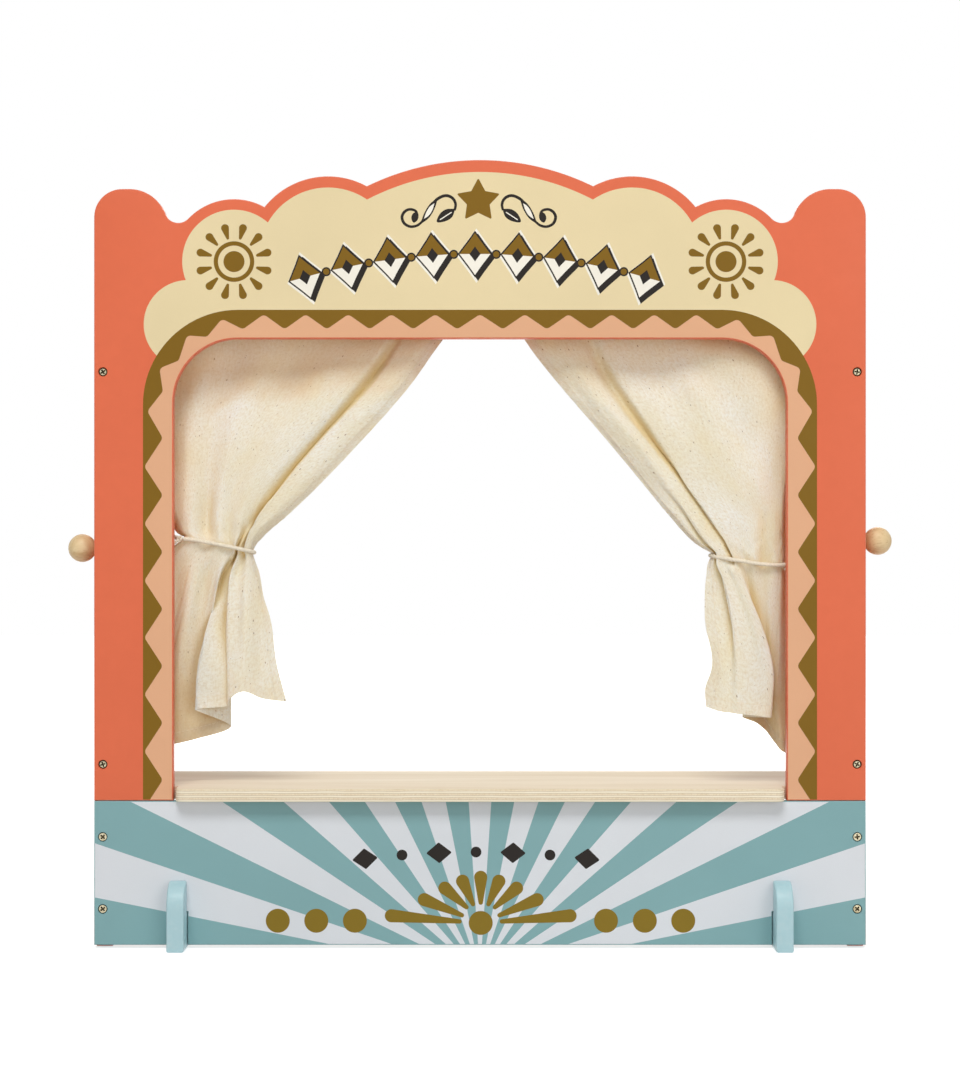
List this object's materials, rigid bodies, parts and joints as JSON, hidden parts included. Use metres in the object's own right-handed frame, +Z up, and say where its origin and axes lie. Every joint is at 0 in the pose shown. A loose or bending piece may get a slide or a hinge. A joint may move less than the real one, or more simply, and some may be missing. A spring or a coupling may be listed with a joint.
{
  "type": "puppet theatre stand",
  "caption": "Table-top puppet theatre: an arched wooden proscenium on a plinth with side boards, a stage shelf, a curtain rod with tied-back curtains and slotted feet.",
  "frame": {"origin": "middle of the footprint, on the surface that the theatre stands on", "axes": "+Z up, +X to the right seen from the audience, -Y towards the audience"},
  "size_m": [0.6494, 0.15, 0.6126],
  "materials": {
    "orange_paint": "satin painted",
    "teal_paint": "satin painted",
    "blue_paint": "satin painted",
    "plywood": "clear lacquered birch plywood",
    "turned_wood": "turned and lacquered",
    "calico": "unbleached cotton",
    "cotton_cord": "twisted cotton",
    "zinc": "yellow zinc plated"
  },
  "bodies": {
    "root": {"proscenium_panel": "orange_paint", "plinth_panel": "teal_paint", "stage_shelf": "plywood", "side_board_left": "orange_paint", "side_board_right": "orange_paint", "peg_left": "turned_wood", "peg_right": "turned_wood", "tieback_left": "cotton_cord", "tieback_right": "cotton_cord", "stage_screw_left_1": "zinc", "stage_screw_left_2": "zinc", "plinth_screw_left_1": "zinc", "plinth_screw_left_2": "zinc", "shelf_screw_left_1": "zinc", "shelf_screw_left_2": "zinc", "stage_screw_right_1": "zinc", "stage_screw_right_2": "zinc", "plinth_screw_right_1": "zinc", "plinth_screw_right_2": "zinc", "shelf_screw_right_1": "zinc", "shelf_screw_right_2": "zinc"},
    "rod": {"curtain_rod": "turned_wood"},
    "left_curtain": {"curtain_left": "calico"},
    "right_curtain": {"curtain_right": "calico"},
    "left_foot": {"foot_left": "blue_paint"},
    "right_foot": {"foot_right": "blue_paint"}
  },
  "joints": [
    {"name": "rod_turn", "type": "hinge", "parent": "root", "child": "rod", "pos_m": [0, -0.028, 0.49], "axis": [1, 0, 0], "continuous": true},
    {"name": "left_curtain_draw", "type": "slide", "parent": "root", "child": "left_curtain", "axis": [-1, 0, 0], "range_m": [0, 0.12], "deforming": ["curtain_left"]},
    {"name": "right_curtain_draw", "type": "slide", "parent": "root", "child": "right_curtain", "axis": [1, 0, 0], "range_m": [0, 0.12], "deforming": ["curtain_right"]},
    {"name": "left_foot_pull", "type": "slide", "parent": "root", "child": "left_foot", "axis": [0, 0, -1], "range_m": [0, 0.052]},
    {"name": "right_foot_pull", "type": "slide", "parent": "root", "child": "right_foot", "axis": [0, 0, -1], "range_m": [0, 0.052]}
  ]
}
